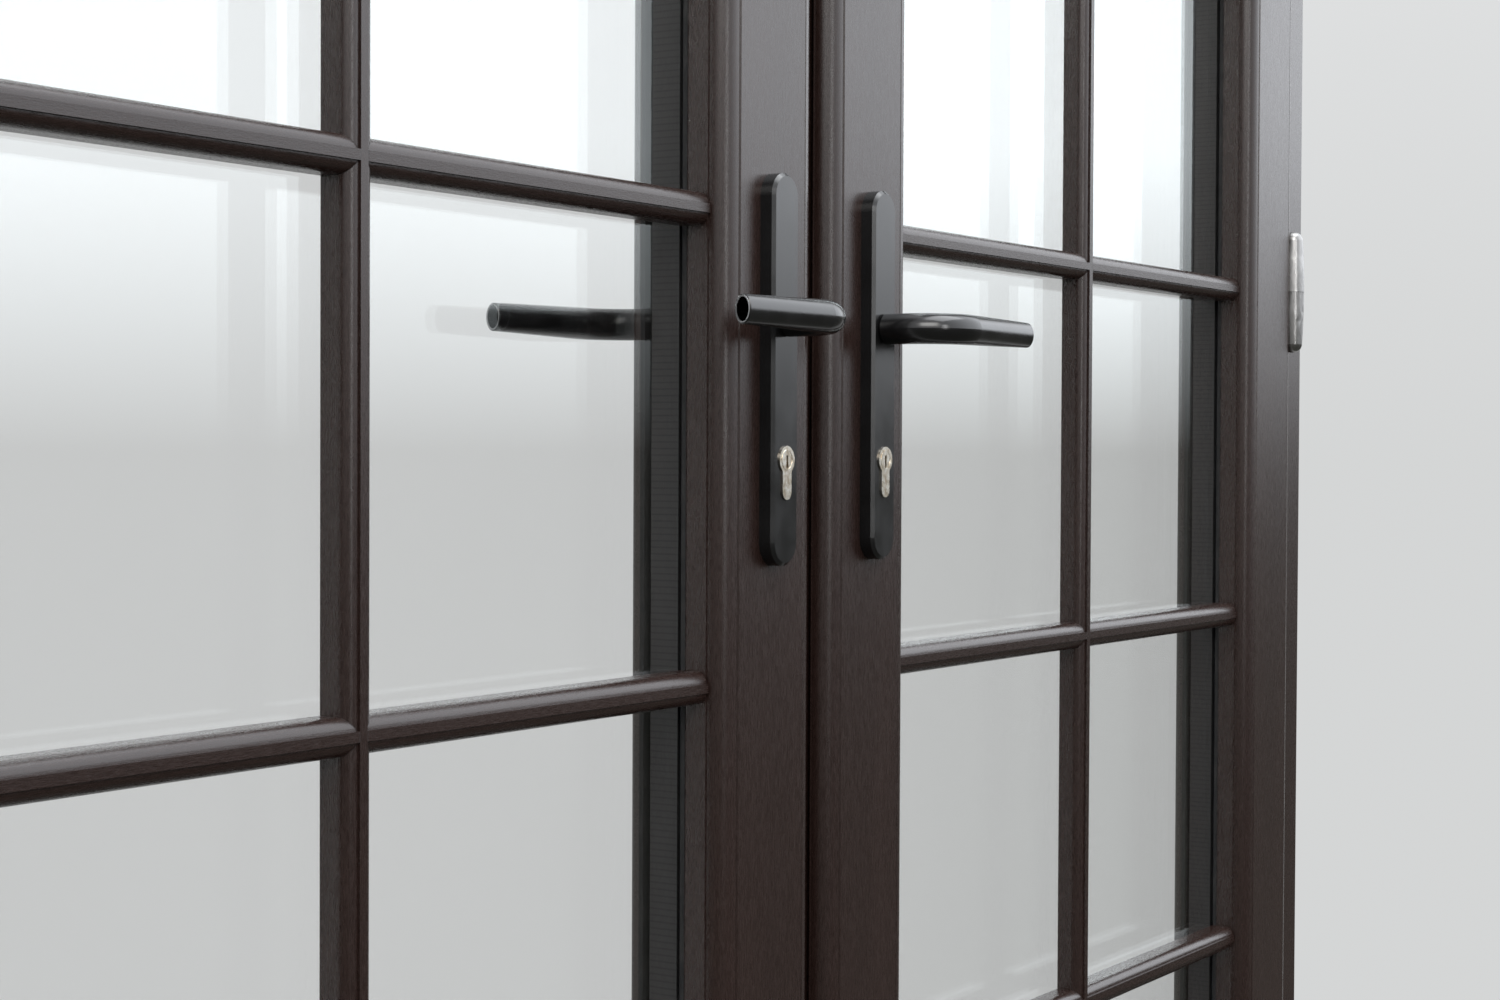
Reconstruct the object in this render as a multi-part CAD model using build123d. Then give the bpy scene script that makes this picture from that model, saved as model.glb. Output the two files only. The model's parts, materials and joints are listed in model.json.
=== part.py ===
from build123d import *
import os
from math import cos, pi, sin

# A pair of outward-opening french doors in their own frame.
# Millimetres. X runs along the wall, the outside faces -Y and Z is up.
# The origin is under the middle of the frame, on its lower face.

# Door set
leaf_width = 827.5          # one leaf, edge of flange to edge of flange
leaf_height = 1912.0
meeting_gap = 17.0          # between the two leaves' flanges
frame_sight = 64.0          # frame face that shows beyond a leaf
pane_columns = 2
pane_rows = 6

# Frame section
frame_depth = 70.0
frame_step = 17.0           # frame face behind the leaf face
stop_reach = 16.0           # how far the inner stop stands into the opening
frame_arris = 1.5           # rounding of the frame's free corners

# Leaf section, measured from the leaf's outside face and its flange edge
leaf_depth = 70.0
flat_width = 77.0
ovolo_radius = 13.0
ovolo_ledge = 1.0           # small flat ledge at the foot of each ovolo
groove_width = 2.0
groove_depth = 1.2
groove_step = 0.4           # the ovolo starts this far below the flat
flange_thickness = 14.0
overlap = 6.0               # flange over frame
edge_gap = 6.0              # leaf body to frame, all round
stop_gap = 2.0              # leaf's inside face to the frame's stop

# Glazing
glass_setback = 31.0        # outer pane behind the leaf's outside face
glass_thickness = 4.0
cavity = 20.0
gasket_thickness = 3.0
gasket_lip = 0.6            # gasket proud of the rebate wall
rebate_cover = 20.0         # sash leg in front of the unit's edge
edge_clearance = 4.0        # unit's edge to the rebate's floor
spacer_width = 11.0
spacer_inset = 3.0          # spacer from the unit's edge
bead_width = 19.0
bead_nose = 3.0
seal_clearance = 0.3
seal_width = 4.0
seal_inset = 1.0

# Glazing bars
bar_width = 20.0
bar_height = 20.0
bar_flat = 5.5
bar_quirk = 1.4             # step between the ovolo and the flat

# Meeting strips, one on the edge of each leaf
strip_thickness = 18.5
faceplate_width = 16.0
faceplate_thickness = 2.5
lock_depth = 43.5           # lock's centre plane behind the leaf's outside face

# Handle
spindle_height = 891.0     # above the leaf's lower edge
backplate_width = 29.0
backplate_thickness = 10.0
backplate_above = 90.0      # above the spindle
backplate_below = 150.0
backplate_bevel = 2.0
cylinder_drop = 85.0        # spindle to cylinder
spindle_size = 8.0
socket_clearance = 0.05
lever_radius = 10.0
lever_projection = 54.0     # grip's centre line in front of the leaf's face
lever_bend = 32.0
lever_length = 118.0        # spindle to the grip's end
lever_tip_depth = 11.0
lever_tip_height = 17.0
lever_rim = 1.2
lever_clearance = 0.3
spigot_radius = 8.0
spigot_clearance = 0.05
socket_depth = 30.0
screw_spacing = 215.0
screw_radius = 2.5
screw_head_radius = 4.2
screw_head_height = 1.6
screw_hole_radius = 4.0
screw_entry = 4.0           # thread in the outside plate
spindle_hole_radius = 11.0

# Profile cylinder
cylinder_radius = 8.5
cylinder_tail = 10.0        # width of the tail
cylinder_height = 33.0
cylinder_proud = 1.0
plug_radius = 6.5
plug_clearance = 0.05
cam_width = 10.0
cam_radius = 8.2
cam_reach = 14.5
cam_clearance = 0.4
keyway_width = 2.2
keyway_height = 8.0
keyway_depth = 4.0

# Lock case and bolts
case_thickness = 15.0
case_back = 70.0            # case's back face from the flange edge
case_above = 55.0           # above the spindle
case_below = 122.0
case_clearance = 0.5
slide_clearance = 0.3
bolt_thickness = 10.0
bolt_recess = 0.5           # bolt's end inside the faceplate at rest
latch_height = 20.0
latch_length = 34.0
latch_rise = 15.0           # latch's lower face above the spindle
latch_bevel = 8.0
deadbolt_height = 22.0
deadbolt_length = 34.0
deadbolt_drop = 44.0        # deadbolt's upper face below the spindle
side_bolt_height = 20.0
side_bolt_length = 32.0
side_bolt_top = 332.0       # upper side bolt's middle below the leaf's top
side_bolt_foot = 515.0      # lower one's middle above the leaf's lower edge
bolt_travel = 16.0          # deadbolt and side bolts, outwards
side_bolt_return = 14.5     # drawn back with the lever pressed down
keep_clearance = 2.5        # beyond a thrown bolt's end
bolt_rim = 0.6
rod_radius = 5.0
rod_depth = 25.0            # rod's axis behind the leaf's outside face
rod_clearance = 0.3
rod_travel = 20.0
rod_recess = 1.0
rod_start = 30.0            # rod's inner end beyond the lock case
rod_keep_clearance = 0.6
keep_plate_thickness = 2.0
keep_plate_width = 30.0
keep_plate_depth = 22.0
keep_hole_depth = 26.0

# Hinges
hinge_end_distance = 190.0  # outer hinges from the leaf's ends
hinge_middle_rise = 68.0    # middle hinge above the spindle
hinge_length = 110.0
hinge_radius = 10.2
hinge_end_radius = 8.8
hinge_dome = 7.5
hinge_pole = 1.2            # small flat at the dome's end
hinge_out = 2.0             # axis beyond the flange edge
hinge_in = 2.0              # axis behind the leaf's outside face
hinge_relief = 0.4
hinge_washer_gap = 0.4
pin_radius = 3.5
pin_clearance = 0.05
pin_length = 84.0
pin_rim = 0.5
hinge_plate = 2.4
hinge_plate_depth = 44.0
hinge_plate_height = 44.0
hinge_leg = 4.0

# Fixing holes through the jambs
fixing_foot = 330.0         # lowest hole above the frame's lower face
fixing_head = 180.0         # highest hole below the frame's top
fixing_count = 4
fixing_radius = 4.0
fixing_depth = 45.0         # behind the leaf's outside face

# Places that follow from the sizes above
body_edge = overlap + edge_gap
ovolo_width = ovolo_radius + ovolo_ledge
sash_face = flat_width + 2 * ovolo_width
foot_depth = groove_step + ovolo_radius
rebate_floor = sash_face - rebate_cover
unit_inset = rebate_floor + edge_clearance
unit_thickness = 2 * glass_thickness + cavity
leg_back = glass_setback - gasket_thickness
unit_back = glass_setback + unit_thickness
bead_front = unit_back + gasket_thickness
stop_front = leaf_depth + stop_gap
frame_back = frame_step + frame_depth
set_width = 2 * leaf_width + meeting_gap
frame_width = set_width + 2 * frame_sight
frame_height = leaf_height + 2 * frame_sight
daylight_width = leaf_width - 2 * sash_face
daylight_height = leaf_height - 2 * sash_face
row_height = (daylight_height - (pane_rows - 1) * bar_width) / pane_rows
column_width = (daylight_width - (pane_columns - 1) * bar_width) / pane_columns
strip_edge = body_edge - strip_thickness
strip_gap = meeting_gap + 2 * strip_edge
keep_depth = bolt_travel - bolt_recess - strip_gap + keep_clearance
spindle_inset = ovolo_width + flat_width / 2
cylinder_z = spindle_height - cylinder_drop
backplate_height = backplate_above + backplate_below
screw_middle = spindle_height + (backplate_above - backplate_below) / 2
screw_heights = (screw_middle - screw_spacing / 2, screw_middle + screw_spacing / 2)
case_front = strip_edge + faceplate_thickness
hinge_x = -hinge_out
hinge_heights = (
    hinge_end_distance, spindle_height + hinge_middle_rise, leaf_height - hinge_end_distance)
fixing_spacing = (frame_height - fixing_foot - fixing_head) / (fixing_count - 1)
fixing_heights = [fixing_foot + step * fixing_spacing for step in range(fixing_count)]
rod_inset = body_edge - strip_thickness / 2

outside = Location((-set_width / 2, -leaf_depth / 2, frame_sight))


def block(x_from, x_to, y_from, y_to, z_from, z_to):
    """A box between two corners."""
    size = (x_to - x_from, y_to - y_from, z_to - z_from)
    middle = ((x_from + x_to) / 2, (y_from + y_to) / 2, (z_from + z_to) / 2)
    return Pos(*middle) * Box(*size)


def upright_rod(x, y, z_from, z_to, radius):
    """A round rod along Z."""
    return Pos(x, y, (z_from + z_to) / 2) * Cylinder(radius, z_to - z_from)


def through(sketch, x, z, y_from, y_to):
    """A sketch drawn in X and Z, pushed through from one depth to another."""
    plane = Plane(origin=(x, y_from, z), x_dir=(1, 0, 0), z_dir=(0, -1, 0))
    return extrude(plane * sketch, y_from - y_to)


def meeting(x_from, x_to, y_from, y_to, z_from, z_to):
    """A box whose X places are counted inwards from the leaf's meeting edge."""
    return block(leaf_width - x_to, leaf_width - x_from, y_from, y_to, z_from, z_to)


def outline(*pieces):
    """A face inside joined lines and arcs."""
    return make_face(Curve() + list(pieces))


def member(section, length):
    """A bar up Z with both ends mitred; its section is drawn with X inwards."""
    reach = section.bounding_box().max.X
    ends = Polyline((0, 0), (reach, reach), (reach, length - reach), (0, length), close=True)
    mitre = extrude(Plane.XZ * make_face(ends), frame_back * 2, both=True)
    return extrude(section, length) & mitre


def ring(section, width, height, inset=0.0):
    """The four mitred members of a frame: near, far, bottom and top."""
    upright = member(section, height)
    rail = member(section, width)
    start = Pos(inset, 0, inset)
    return [
        start * upright,
        start * Pos(width, 0, 0) * mirror(upright, about=Plane.YZ),
        start * Pos(width, 0, 0) * Rot(0, -90, 0) * rail,
        start * Pos(0, 0, height) * Rot(0, 90, 0) * rail,
    ]


def fused(solids):
    """One solid from touching ones."""
    whole = solids[0]
    for solid in solids[1:]:
        whole = whole + solid
    return whole


def group(solids):
    """Several solids that share one node."""
    parts = []
    for solid in solids:
        parts.extend(solid.solids())
    return Compound(children=parts)


# Frame

def frame_section():
    """Deep box with an inner stop, X inwards from the frame's outer edge."""
    reveal = frame_sight + overlap
    nose = reveal + stop_reach
    corners = [
        (frame_arris, frame_step),
        (reveal, frame_step),
        (reveal, stop_front),
        (nose, stop_front),
        (nose, frame_back - frame_arris),
        (nose - frame_arris, frame_back),
        (frame_arris, frame_back),
        (0, frame_back - frame_arris),
        (0, frame_step + frame_arris),
    ]
    return make_face(Polyline(*corners, close=True))


def fixing_hole(height):
    """One hole through a jamb, along X."""
    drill = Rot(0, 90, 0) * Cylinder(fixing_radius, 4 * frame_sight)
    return Pos(-frame_sight, fixing_depth, height - frame_sight) * drill


def rod_socket(z_from, z_to):
    """The hole that a thrown rod enters."""
    return upright_rod(leaf_width - rod_inset, rod_depth, z_from, z_to, rod_radius + rod_keep_clearance)


def frame_members():
    """Both jambs, the threshold and the head."""
    section = frame_section()
    near, far, bottom, top = ring(section, frame_width, frame_height, -frame_sight)
    for height in fixing_heights:
        near -= fixing_hole(height)
        far -= Pos(set_width + 2 * frame_sight, 0, 0) * fixing_hole(height)
    bottom -= rod_socket(overlap - keep_hole_depth, overlap)
    top -= rod_socket(leaf_height - overlap, leaf_height - overlap + keep_hole_depth)
    return near, far, bottom, top


def seal_breaks():
    """Room for the hinges' plates in the seal."""
    half = hinge_length / 2
    breaks = []
    for height in hinge_heights:
        gap = block(-seal_width, body_edge, 0, frame_step, height - half, height + half)
        breaks.append(gap)
        breaks.append(Pos(set_width, 0, 0) * mirror(gap, about=Plane.YZ))
    return breaks


def flange_seal():
    """Seal under the leaves' flanges, cut away at the hinges."""
    middle = Pos(seal_inset + seal_width / 2, (flange_thickness + seal_clearance + frame_step) / 2)
    section = middle * Rectangle(seal_width, frame_step - flange_thickness - seal_clearance)
    seal = fused(ring(section, set_width, leaf_height))
    for gap in seal_breaks():
        seal -= gap
    return group([seal])


def stop_seal():
    """Seal on the inner stop, all round."""
    x = body_edge + seal_inset + seal_width / 2
    middle = Pos(x, (leaf_depth + seal_clearance + stop_front) / 2)
    section = middle * Rectangle(seal_width, stop_gap - seal_clearance)
    return fused(ring(section, set_width, leaf_height))


def bolt_keeps():
    """Drilled plates in the head and threshold for the rods."""
    x = leaf_width - rod_inset
    half = keep_plate_width / 2
    plates = []
    for z_from in (overlap, leaf_height - overlap - keep_plate_thickness):
        z_to = z_from + keep_plate_thickness
        y_from = frame_step + seal_inset
        plate = block(x - half, x + half, y_from, y_from + keep_plate_depth, z_from, z_to)
        plates.append(plate - rod_socket(z_from, z_to))
    return group(plates)


# Hinges, in the left leaf's own places

def hinge_knuckle(height, side):
    """Half of the bowed barrel, bored for the pin. Side is 1 for the upper half, -1 for the lower."""
    bore = pin_radius + pin_clearance
    bottom = hinge_washer_gap / 2
    end = hinge_length / 2
    shoulder = end - hinge_dome
    dome_x = hinge_pole + (hinge_end_radius - hinge_pole) * sin(pi / 4)
    dome_z = shoulder + hinge_dome * cos(pi / 4)
    bow = TangentArc(
        (hinge_radius, side * bottom), (hinge_end_radius, side * shoulder), tangent=(0, side))
    dome = ThreePointArc(
        (hinge_end_radius, side * shoulder), (dome_x, side * dome_z), (hinge_pole, side * end))
    inside = Polyline(
        (hinge_pole, side * end),
        (0, side * end),
        (0, side * pin_length / 2),
        (bore, side * pin_length / 2),
        (bore, side * bottom),
        (hinge_radius, side * bottom))
    knuckle = revolve(Plane.XZ * outline(bow, dome, inside), Axis.Z)
    return Pos(hinge_x, hinge_in, height) * knuckle


def hinge_half(height, side, foot, plate):
    """A knuckle with its leg, foot and plate. Foot is its far X and its Y range."""
    start = hinge_washer_gap / 2
    low, high = sorted((height + side * start, height + side * (start + hinge_plate_height)))
    leg_from = hinge_in + pin_radius + pin_clearance + hinge_relief
    leg = block(hinge_x - hinge_leg / 2, hinge_x + hinge_leg / 2, leg_from, foot[2], low, high)
    flat = block(hinge_x - hinge_leg / 2, foot[0], foot[1], foot[2], low, high)
    face = block(plate[0], plate[1], foot[1], foot[1] + hinge_plate_depth, low, high)
    return hinge_knuckle(height, side) + (leg + flat + face)


def hinge_bracket(height):
    """The half on the frame, below."""
    foot = (overlap + hinge_plate, frame_step - hinge_plate, frame_step)
    return hinge_half(height, -1, foot, (overlap, overlap + hinge_plate))


def hinge_flap(height):
    """The half on the leaf, above."""
    foot = (body_edge, flange_thickness, flange_thickness + hinge_plate)
    return hinge_half(height, 1, foot, (body_edge - hinge_plate, body_edge))


def hinge_pin(height):
    """The pin, with a rounded rim at each end."""
    half = pin_length / 2
    pin = upright_rod(hinge_x, hinge_in, height - half, height + half, pin_radius)
    return chamfer(pin.edges().filter_by(GeomType.CIRCLE), pin_rim)


def hinge_reliefs():
    """Round hollows in the leaf's edge that the barrels sit in."""
    reliefs = []
    half = hinge_length / 2 + hinge_relief
    for height in hinge_heights:
        radius = hinge_radius + hinge_relief
        reliefs.append(upright_rod(hinge_x, hinge_in, height - half, height + half, radius))
    return reliefs


# Leaf

def sash_section():
    """Flange, flat with an ovolo on each side, body and glazing rebate."""
    flat_start = ovolo_width
    flat_end = ovolo_width + flat_width
    bend = ovolo_radius * (1 - cos(pi / 4))
    step = groove_step
    left_arc = ThreePointArc(
        (ovolo_ledge, foot_depth), (ovolo_ledge + bend, step + bend), (flat_start, step))
    right_arc = ThreePointArc(
        (flat_end, step), (sash_face - ovolo_ledge - bend, step + bend),
        (sash_face - ovolo_ledge, foot_depth))
    front = Polyline(
        (flat_start, step),
        (flat_start + groove_width / 2, groove_depth),
        (flat_start + groove_width, 0),
        (flat_end - groove_width, 0),
        (flat_end - groove_width / 2, groove_depth),
        (flat_end, step))
    back = Polyline(
        (sash_face - ovolo_ledge, foot_depth),
        (sash_face, foot_depth),
        (sash_face, leg_back),
        (rebate_floor, leg_back),
        (rebate_floor, leaf_depth),
        (body_edge, leaf_depth),
        (body_edge, flange_thickness),
        (0, flange_thickness),
        (0, foot_depth),
        (ovolo_ledge, foot_depth))
    return outline(left_arc, front, right_arc, back)


def profile_hole(extra):
    """Keyhole outline of the profile cylinder, grown by a clearance."""
    tail = cylinder_tail / 2
    end = cylinder_radius - cylinder_height + tail
    slot = Pos(0, end / 2) * Rectangle(cylinder_tail + 2 * extra, -end)
    return Circle(cylinder_radius + extra) + slot + Pos(0, end) * Circle(tail + extra)


def handle_cuts():
    """Holes through the meeting stile for spindle, cylinder and screws."""
    x = leaf_width - spindle_inset
    cuts = [
        through(Circle(spindle_hole_radius), x, spindle_height, -1, leaf_depth + 1),
        through(profile_hole(case_clearance), x, cylinder_z, -1, leaf_depth + 1),
    ]
    for height in screw_heights:
        cuts.append(through(Circle(screw_hole_radius), x, height, -1, leaf_depth + 1))
    return cuts


def case_pocket():
    """Room for the lock case in the stile and strip."""
    half = case_thickness / 2 + case_clearance
    low = spindle_height - case_below - case_clearance
    high = spindle_height + case_above + case_clearance
    return meeting(case_front, case_back + case_clearance, lock_depth - half, lock_depth + half, low, high)


def sash_members():
    """Hinge stile, meeting stile, bottom rail and top rail."""
    hinge_stile, meeting_stile, bottom, top = ring(sash_section(), leaf_width, leaf_height)
    for relief in hinge_reliefs():
        hinge_stile -= relief
    meeting_stile -= case_pocket()
    for cut in handle_cuts():
        meeting_stile -= cut
    return hinge_stile, meeting_stile, bottom, top


def pane(front):
    """One sheet of glass, its front at the given depth."""
    far = leaf_width - unit_inset
    high = leaf_height - unit_inset
    return block(unit_inset, far, front, front + glass_thickness, unit_inset, high)


def strip_ring(x_from, x_to, y_from, y_to):
    """Four mitred strips of plain section round the glass."""
    section = Pos((x_from + x_to) / 2, (y_from + y_to) / 2) * Rectangle(x_to - x_from, y_to - y_from)
    return ring(section, leaf_width, leaf_height)


def spacer():
    """Bar that holds the two panes apart, all round."""
    start = unit_inset + spacer_inset
    front = glass_setback + glass_thickness
    return fused(strip_ring(start, start + spacer_width, front, front + cavity))


def gaskets():
    """Outer and inner glazing gaskets."""
    start = unit_inset + spacer_inset
    outer = fused(strip_ring(start, sash_face + gasket_lip, leg_back, glass_setback))
    bead_edge = rebate_floor + bead_width + gasket_lip
    inner = fused(strip_ring(start, bead_edge, unit_back, bead_front))
    return group([outer, inner])


def beads():
    """Four glazing beads on the inside, with a rounded nose."""
    edge = rebate_floor + bead_width
    drop = leaf_depth - bead_front - bead_nose
    bend = drop * cos(pi / 4)
    nose = ThreePointArc(
        (edge, bead_front + bead_nose),
        (edge - drop + bend, bead_front + bead_nose + bend),
        (edge - drop, leaf_depth))
    rest = Polyline(
        (edge - drop, leaf_depth),
        (rebate_floor, leaf_depth),
        (rebate_floor, bead_front),
        (edge, bead_front),
        (edge, bead_front + bead_nose))
    return group(ring(outline(nose, rest), leaf_width, leaf_height))


# Glazing bars

def bar_section():
    """Flat top, quirk and ovolo on each side; X across, Y down to the glass."""
    half = bar_width / 2
    flat = bar_flat / 2
    radius = half - flat
    middle_x = flat + radius * cos(pi / 4)
    middle_y = bar_quirk + radius * (1 - cos(pi / 4))
    glass = bar_height
    foot = bar_quirk + radius
    right = ThreePointArc((flat, bar_quirk), (middle_x, middle_y), (half, foot))
    left = ThreePointArc((-half, foot), (-middle_x, middle_y), (-flat, bar_quirk))
    top = Polyline((-flat, bar_quirk), (-flat, 0), (flat, 0), (flat, bar_quirk))
    base = Polyline((half, foot), (half, glass), (-half, glass), (-half, foot))
    return outline(right, base, left, top)


def glazing_bars():
    """The upright bar, and the cross bars scribed against it."""
    section = Pos(0, glass_setback - bar_height) * bar_section()
    start = sash_face + gasket_lip
    uprights = []
    for column in range(1, pane_columns):
        x = sash_face + column * (column_width + bar_width) - bar_width / 2
        uprights.append(Pos(x, 0, start) * extrude(section, daylight_height - 2 * gasket_lip))
    cross_bars = []
    for row in range(1, pane_rows):
        z = sash_face + row * (row_height + bar_width) - bar_width / 2
        cross = Pos(start, 0, z) * Rot(0, 90, 0) * extrude(section, daylight_width - 2 * gasket_lip)
        for upright in uprights:
            cross = cross - upright
        cross_bars.append(cross)
    return group(uprights), group(cross_bars)


# Meeting strips, faceplates, locks

def keep_pockets():
    """Where the other leaf's bolts enter this leaf's strip."""
    half = bolt_thickness / 2 + slide_clearance
    pockets = []
    for low, height in bolt_places():
        pockets.append(meeting(
            strip_edge - 1, strip_edge + keep_depth, lock_depth - half, lock_depth + half,
            low - slide_clearance, low + height + slide_clearance))
    return pockets


def bolt_places():
    """Lower face and height of each bolt that leaves the strip sideways."""
    return [
        (spindle_height + latch_rise, latch_height),
        (spindle_height - deadbolt_drop - deadbolt_height, deadbolt_height),
        (leaf_height - side_bolt_top - side_bolt_height / 2, side_bolt_height),
        (side_bolt_foot - side_bolt_height / 2, side_bolt_height),
    ]


def bolt_channels():
    """Room for the right leaf's bolts and their travel."""
    half = bolt_thickness / 2 + slide_clearance
    lengths = [latch_length, deadbolt_length]
    lengths += [side_bolt_length + side_bolt_return] * 2
    channels = []
    for (low, height), length in zip(bolt_places(), lengths):
        end = strip_edge + bolt_recess + length + slide_clearance
        channels.append(meeting(
            strip_edge - 1, end, lock_depth - half, lock_depth + half,
            low - slide_clearance, low + height + slide_clearance))
    return channels


def rod_bores():
    """Long bores for the rods, open at the strip's ends."""
    x = leaf_width - rod_inset
    radius = rod_radius + rod_clearance
    high_start = spindle_height + case_above + rod_start - rod_travel - rod_clearance
    low_start = spindle_height - case_below - rod_start + rod_travel + rod_clearance
    return [
        upright_rod(x, rod_depth, high_start, leaf_height, radius),
        upright_rod(x, rod_depth, 0, low_start, radius),
    ]


def meeting_strip(cuts):
    """Strip on the leaf's edge with a groove for the faceplate."""
    strip = meeting(
        strip_edge, body_edge, frame_step, leaf_depth, body_edge, leaf_height - body_edge)
    half = faceplate_width / 2
    strip -= meeting(
        strip_edge, case_front, lock_depth - half, lock_depth + half,
        body_edge, leaf_height - body_edge)
    strip -= case_pocket()
    for cut in cuts:
        strip -= cut
    return strip


def faceplate(cuts):
    """Long steel plate let into the strip."""
    half = faceplate_width / 2
    plate = meeting(
        strip_edge, case_front, lock_depth - half, lock_depth + half,
        body_edge, leaf_height - body_edge)
    for cut in cuts:
        plate -= cut
    return plate


def lock_case(cuts):
    """The case in the stile, with room for spindle, cylinder and cam."""
    half = case_thickness / 2
    case = meeting(
        case_front, case_back, lock_depth - half, lock_depth + half,
        spindle_height - case_below, spindle_height + case_above)
    x = leaf_width - spindle_inset
    case -= through(Circle(spindle_hole_radius), x, spindle_height, 0, leaf_depth)
    case -= through(profile_hole(case_clearance), x, cylinder_z, 0, leaf_depth)
    cam_half = cam_width / 2 + cam_clearance
    cam_room = Circle(cam_reach + cam_clearance)
    case -= through(cam_room, x, cylinder_z, lock_depth - cam_half, lock_depth + cam_half)
    for cut in cuts:
        case -= cut
    return case


def side_bolt(low, height, length):
    """A plain bolt at rest, its end just inside the faceplate."""
    half = bolt_thickness / 2
    start = strip_edge + bolt_recess
    bolt = meeting(start, start + length, lock_depth - half, lock_depth + half, low, low + height)
    face = bolt.faces().sort_by(Axis.X)[-1]
    return chamfer(face.edges(), bolt_rim)


def latch():
    """Latch bolt, bevelled on its inner side, which meets the keep first."""
    low, height = bolt_places()[0]
    half = bolt_thickness / 2
    start = strip_edge + bolt_recess
    bolt = meeting(
        start, start + latch_length, lock_depth - half, lock_depth + half, low, low + height)
    tip = leaf_width - start
    wedge = Polyline(
        (tip - latch_bevel, lock_depth + half),
        (tip, lock_depth + half),
        (tip, lock_depth - half / 2),
        close=True)
    return bolt - Pos(0, 0, low) * extrude(make_face(wedge), height)


def rods():
    """Top and bottom rods of the left leaf, at rest inside the strip."""
    x = leaf_width - rod_inset
    top_end = leaf_height - body_edge - rod_recess
    bottom_end = body_edge + rod_recess
    upper = upright_rod(x, rod_depth, spindle_height + case_above + rod_start, top_end, rod_radius)
    lower = upright_rod(x, rod_depth, bottom_end, spindle_height - case_below - rod_start, rod_radius)
    tip = upper.faces().sort_by(Axis.Z)[-1]
    foot = lower.faces().sort_by(Axis.Z)[0]
    return chamfer(tip.edges(), rod_recess), chamfer(foot.edges(), rod_recess)


# Profile cylinder

def cylinder():
    """Body of the profile cylinder, open round its cam."""
    x = leaf_width - spindle_inset
    front = -backplate_thickness - cylinder_proud
    back = leaf_depth + backplate_thickness + cylinder_proud
    body = through(profile_hole(0), x, cylinder_z, front, back)
    body -= through(Circle(plug_radius + plug_clearance), x, cylinder_z, front - 1, back + 1)
    half = cam_width / 2 + cam_clearance
    side = 2 * cylinder_radius
    low = cylinder_z - cam_reach - cam_clearance
    return body - block(
        x - side, x + side, lock_depth - half, lock_depth + half, low, cylinder_z + side)


def keyway(y_from, y_to):
    """The slot that the key enters."""
    shape = Pos(0, (keyway_height - 2 * plug_radius) / 4) * Rectangle(keyway_width, keyway_height)
    return through(shape, leaf_width - spindle_inset, cylinder_z, y_from, y_to)


def key_plugs():
    """Outer plug, inner plug and the cam between them."""
    x = leaf_width - spindle_inset
    front = -backplate_thickness - cylinder_proud
    back = leaf_depth + backplate_thickness + cylinder_proud
    half = cam_width / 2
    outer = through(Circle(plug_radius), x, cylinder_z, front, lock_depth - half)
    inner = through(Circle(plug_radius), x, cylinder_z, lock_depth + half, back)
    nose = Rot(0, 0, 45) * Pos(-cam_reach / 2, 0) * Rectangle(cam_reach, plug_radius)
    cam_face = Circle(cam_radius) + (nose & Circle(cam_reach))
    cam = through(cam_face, x, cylinder_z, lock_depth - half, lock_depth + half)
    outer -= keyway(front, front + keyway_depth)
    inner -= keyway(back - keyway_depth, back)
    return group([outer, inner, cam])


# Handle

def backplate_outline():
    """Long plate with round ends, its origin on the spindle."""
    middle = (backplate_above - backplate_below) / 2
    return Pos(0, middle) * Rot(0, 0, 90) * SlotOverall(backplate_height, backplate_width)


def backplate(inner):
    """Plate with a bevelled rim, on the outside or the inside face."""
    x = leaf_width - spindle_inset
    face = leaf_depth if inner else 0
    out = backplate_thickness if inner else -backplate_thickness
    y_from, y_to = sorted((face, face + out))
    plate = through(backplate_outline(), x, spindle_height, y_from, y_to)
    rim = plate.faces().sort_by(Axis.Y)[-1 if inner else 0]
    plate = chamfer(rim.edges(), backplate_bevel)
    plate -= through(Circle(spigot_radius + spigot_clearance), x, spindle_height, y_from, y_to)
    plate -= through(profile_hole(spigot_clearance), x, cylinder_z, y_from, y_to)
    hole = Circle(screw_radius + spigot_clearance)
    hole_from = y_from if inner else y_to - screw_entry
    for height in screw_heights:
        plate -= through(hole, x, height, hole_from, y_to)
    return plate


def handle_screws():
    """Long screws from the inside plate into the outside one."""
    x = leaf_width - spindle_inset
    head_from = leaf_depth + backplate_thickness
    screws = []
    for height in screw_heights:
        shank = through(Circle(screw_radius), x, height, -screw_entry, head_from)
        head = through(
            Circle(screw_head_radius), x, height, head_from, head_from + screw_head_height)
        rim = head.faces().sort_by(Axis.Y)[-1]
        head = chamfer(rim.edges(), screw_head_height / 3)
        cross = Rectangle(2 * screw_radius, screw_radius / 2)
        slot = cross + Rectangle(screw_radius / 2, 2 * screw_radius)
        depth = screw_head_height / 2
        socket = through(slot, x, height, head_from + depth, head_from + screw_head_height)
        screws.append(shank + head - socket)
    return group(screws)


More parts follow.
